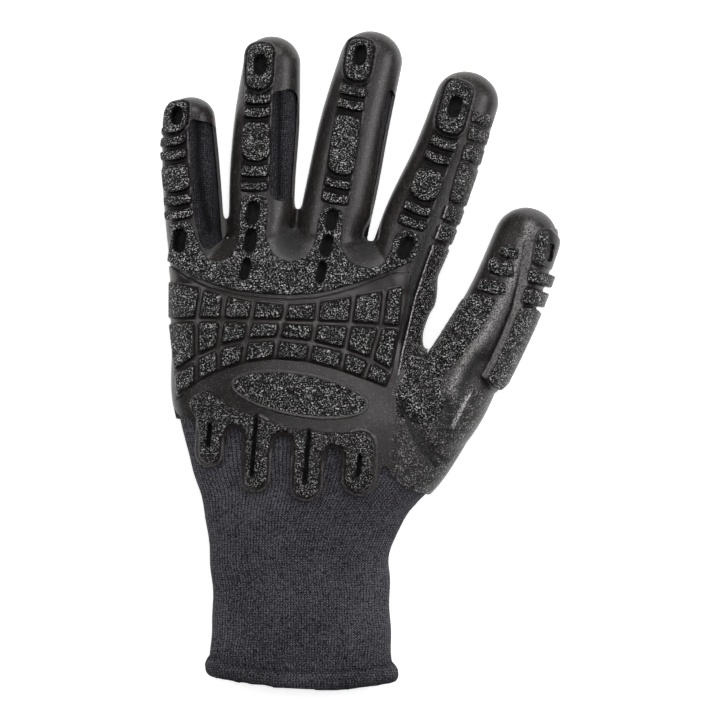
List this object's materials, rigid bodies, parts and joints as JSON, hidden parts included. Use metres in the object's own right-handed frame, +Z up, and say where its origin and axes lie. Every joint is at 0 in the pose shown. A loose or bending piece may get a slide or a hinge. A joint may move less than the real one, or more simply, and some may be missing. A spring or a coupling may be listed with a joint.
{
  "type": "impact work glove",
  "caption": "Left-hand impact work glove with a knitted liner, dipped rubber palm, ribbed cuff and raised rubber guards on its back.",
  "frame": {"origin": "centre of the glove's footprint on the floor it lies on", "axes": "+Y from the cuff to the fingers, +X towards the thumb, +Z up, out of the back of the hand"},
  "size_m": [0.1521, 0.2505, 0.0347],
  "materials": {
    "knit": "charcoal nylon knit with fine upright stitch columns",
    "smooth_rubber": "satin black rubber, slightly warm",
    "pebbled_rubber": "black rubber with a coarse pebbled grain that glitters"
  },
  "bodies": {
    "root": {"knit_cuff": "knit", "knit_hand": "knit", "knit_little": "knit", "knit_ring": "knit", "knit_middle": "knit", "knit_index": "knit", "knit_thumb": "knit", "cuff_hem": "knit", "palm_coating": "smooth_rubber", "little_coating": "smooth_rubber", "ring_coating": "smooth_rubber", "middle_coating": "smooth_rubber", "index_coating": "smooth_rubber", "thumb_coating": "smooth_rubber", "back_skin": "smooth_rubber", "knuckle_guard": "pebbled_rubber", "tile_panel": "pebbled_rubber", "oval_plate": "pebbled_rubber", "cuff_fringe": "pebbled_rubber", "little_guard": "pebbled_rubber", "ring_guard": "pebbled_rubber", "middle_guard": "pebbled_rubber", "index_guard": "pebbled_rubber", "index_side_guard": "pebbled_rubber", "thumb_guard": "pebbled_rubber", "thumb_field": "pebbled_rubber"}
  },
  "joints": []
}
